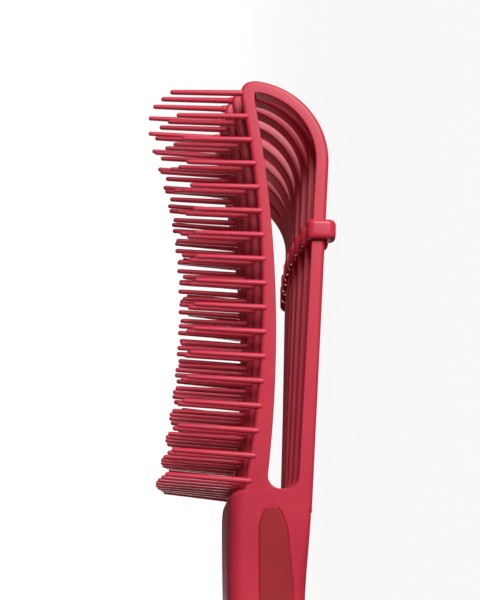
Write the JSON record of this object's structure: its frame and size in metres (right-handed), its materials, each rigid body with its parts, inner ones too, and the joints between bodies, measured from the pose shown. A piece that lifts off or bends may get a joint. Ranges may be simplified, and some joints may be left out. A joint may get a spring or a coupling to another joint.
{
  "type": "detangling brush",
  "caption": "Detangling brush of looped flexible arms that fan out from a slim handle with soft side inlays, with rows of long pins and a clip that slides along the back rods.",
  "frame": {"origin": "centre of the footprint on the surface that the clip and the handle's heel rest on, with the brush on its back", "axes": "+X along the brush from the handle towards the tip, +Z the way the pins point, +Y across"},
  "size_m": [0.2441, 0.089, 0.0606],
  "materials": {
    "brush_plastic": "crimson moulded plastic, semi-gloss",
    "clip_plastic": "crimson moulded plastic, semi-gloss",
    "grip_rubber": "darker crimson soft-touch rubber, matt"
  },
  "bodies": {
    "handle_body": {"handle": "brush_plastic", "grip_left": "grip_rubber", "grip_right": "grip_rubber"},
    "clip_body": {"clip": "clip_plastic"},
    "arm_1_body": {"arm_1": "brush_plastic", "pins_1": "brush_plastic"},
    "arm_2_body": {"arm_2": "brush_plastic", "pins_2": "brush_plastic"},
    "arm_3_body": {"arm_3": "brush_plastic", "pins_3": "brush_plastic"},
    "arm_4_body": {"arm_4": "brush_plastic", "pins_4": "brush_plastic"},
    "arm_5_body": {"arm_5": "brush_plastic", "pins_5": "brush_plastic"},
    "arm_6_body": {"arm_6": "brush_plastic", "pins_6": "brush_plastic"},
    "arm_7_body": {"arm_7": "brush_plastic", "pins_7": "brush_plastic"},
    "arm_8_body": {"arm_8": "brush_plastic", "pins_8": "brush_plastic"}
  },
  "joints": [
    {"name": "clip_slide", "type": "slide", "parent": "handle_body", "child": "clip_body", "axis": [0.9995, 0, -0.0316], "range_m": [-0.012, 0.01]},
    {"name": "arm_1_flex", "type": "hinge", "parent": "handle_body", "child": "arm_1_body", "pos_m": [-0.0164, -0.0185, 0.0191], "axis": [0.0221, 0.1269, 0.9917], "range_deg": [-1.46, 1.46]},
    {"name": "arm_2_flex", "type": "hinge", "parent": "handle_body", "child": "arm_2_body", "pos_m": [-0.0164, -0.01321, 0.0191], "axis": [0.0126, 0.0913, 0.9957], "range_deg": [-1.18, 1.18]},
    {"name": "arm_3_flex", "type": "hinge", "parent": "handle_body", "child": "arm_3_body", "pos_m": [-0.0164, -0.00793, 0.0191], "axis": [0.0049, 0.0551, 0.9985], "range_deg": [-0.8, 0.8]},
    {"name": "arm_4_flex", "type": "hinge", "parent": "handle_body", "child": "arm_4_body", "pos_m": [-0.0164, -0.00264, 0.0191], "axis": [0.0006, 0.0184, 0.9998], "range_deg": [-0.34, 0.34]},
    {"name": "arm_5_flex", "type": "hinge", "parent": "handle_body", "child": "arm_5_body", "pos_m": [-0.0164, 0.00264, 0.0191], "axis": [0.0006, -0.0184, 0.9998], "range_deg": [-0.34, 0.34]},
    {"name": "arm_6_flex", "type": "hinge", "parent": "handle_body", "child": "arm_6_body", "pos_m": [-0.0164, 0.00793, 0.0191], "axis": [0.0049, -0.0551, 0.9985], "range_deg": [-0.8, 0.8]},
    {"name": "arm_7_flex", "type": "hinge", "parent": "handle_body", "child": "arm_7_body", "pos_m": [-0.0164, 0.01321, 0.0191], "axis": [0.0126, -0.0913, 0.9957], "range_deg": [-1.18, 1.18]},
    {"name": "arm_8_flex", "type": "hinge", "parent": "handle_body", "child": "arm_8_body", "pos_m": [-0.0164, 0.0185, 0.0191], "axis": [0.0221, -0.1269, 0.9917], "range_deg": [-1.46, 1.46]}
  ],
  "couplings": [
    {"joint": "arm_1_flex", "follows": "clip_slide", "rad_per_m": 1.976},
    {"joint": "arm_2_flex", "follows": "clip_slide", "rad_per_m": 1.5724},
    {"joint": "arm_3_flex", "follows": "clip_slide", "rad_per_m": 1.0119},
    {"joint": "arm_4_flex", "follows": "clip_slide", "rad_per_m": 0.34922},
    {"joint": "arm_5_flex", "follows": "clip_slide", "rad_per_m": -0.34922},
    {"joint": "arm_6_flex", "follows": "clip_slide", "rad_per_m": -1.0119},
    {"joint": "arm_7_flex", "follows": "clip_slide", "rad_per_m": -1.5724},
    {"joint": "arm_8_flex", "follows": "clip_slide", "rad_per_m": -1.976}
  ]
}
